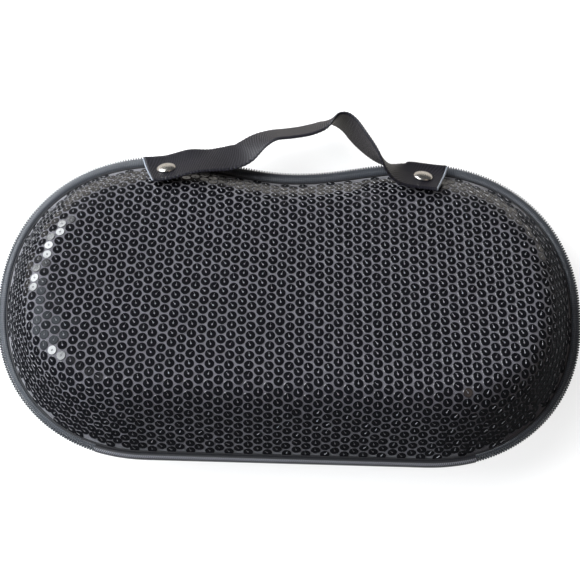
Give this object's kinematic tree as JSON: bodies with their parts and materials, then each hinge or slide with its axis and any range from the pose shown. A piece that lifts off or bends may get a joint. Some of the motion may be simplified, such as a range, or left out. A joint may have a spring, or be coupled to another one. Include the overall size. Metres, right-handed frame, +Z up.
{
  "type": "moulded zip carrying case",
  "caption": "Two-lobed moulded clamshell case in sequinned fabric, with a coil zip, a fabric hinge and a riveted webbing handle.",
  "frame": {"origin": "centre of the bounding box in plan, on the surface that the case lies on", "axes": "+X along the hinge, +Y from the hinge to the handle, +Z up out of the lid as the case lies on its back"},
  "size_m": [0.3194, 0.1969, 0.0752],
  "materials": {
    "sequin_fabric": "glossy black sequins sewn on a dark grey net",
    "moulded_foam": "moulded closed-cell foam board, matte",
    "velour_lining": "short black velour",
    "zip_tape": "tight dark grey polyester tape",
    "nylon_coil": "black nylon coil, satin",
    "webbing": "ribbed dark grey polyester webbing",
    "pocket_mesh": "black net",
    "nickel": "satin nickel plate"
  },
  "bodies": {
    "base": {"base_sequin_skin": "sequin_fabric", "base_shell": "moulded_foam", "base_lining": "velour_lining", "base_zip_tape": "zip_tape", "base_zip_coil": "nylon_coil", "base_hinge_strip": "webbing", "base_inner_hinge_tape": "zip_tape", "retainer_band": "webbing", "retainer_tab_left": "velour_lining", "retainer_tab_right": "velour_lining"},
    "lid": {"lid_sequin_skin": "sequin_fabric", "lid_shell": "moulded_foam", "lid_lining": "velour_lining", "lid_zip_tape": "zip_tape", "lid_zip_coil": "nylon_coil", "lid_hinge_strip": "webbing", "lid_inner_hinge_tape": "zip_tape", "lid_mesh_pocket": "pocket_mesh", "lid_pocket_elastic": "webbing", "strap_end_left": "webbing", "strap_end_right": "webbing", "rivet_left": "nickel", "rivet_right": "nickel", "rivet_washer_left": "nickel", "rivet_washer_right": "nickel"},
    "handle": {"handle_strap": "webbing"},
    "slider_left": {"zip_slider_left": "nickel"},
    "slider_right": {"zip_slider_right": "nickel"},
    "pull_left": {"zip_pull_left": "nickel"},
    "pull_right": {"zip_pull_right": "nickel"}
  },
  "joints": [
    {"name": "lid_hinge", "type": "hinge", "parent": "base", "child": "lid", "pos_m": [0, -0.09867, 0.04381], "axis": [1, 0, 0], "range_deg": [0, 180]},
    {"name": "handle_swing", "type": "hinge", "parent": "lid", "child": "handle", "pos_m": [0, 0.07278, 0.02678], "axis": [1, 0, 0], "range_deg": [-8, 35]},
    {"name": "zip_left_travel", "type": "hinge", "parent": "base", "child": "slider_left", "pos_m": [-0.073, -0.01245, 0.0286], "axis": [0, 0.1736, 0.9848], "range_deg": [0, 165]},
    {"name": "zip_right_travel", "type": "hinge", "parent": "base", "child": "slider_right", "pos_m": [0, 0.24385, -0.01659], "axis": [0, 0.1736, 0.9848], "range_deg": [0, 27.4]},
    {"name": "pull_left_swing", "type": "hinge", "parent": "slider_left", "child": "pull_left", "pos_m": [-0.04922, 0.07448, 0.01277], "axis": [0.9656, -0.2559, 0.0451], "range_deg": [-8, 90]},
    {"name": "pull_right_swing", "type": "hinge", "parent": "slider_right", "child": "pull_right", "pos_m": [-0.03737, 0.0725, 0.01312], "axis": [0.9777, -0.2069, 0.0365], "range_deg": [-8, 90]}
  ]
}
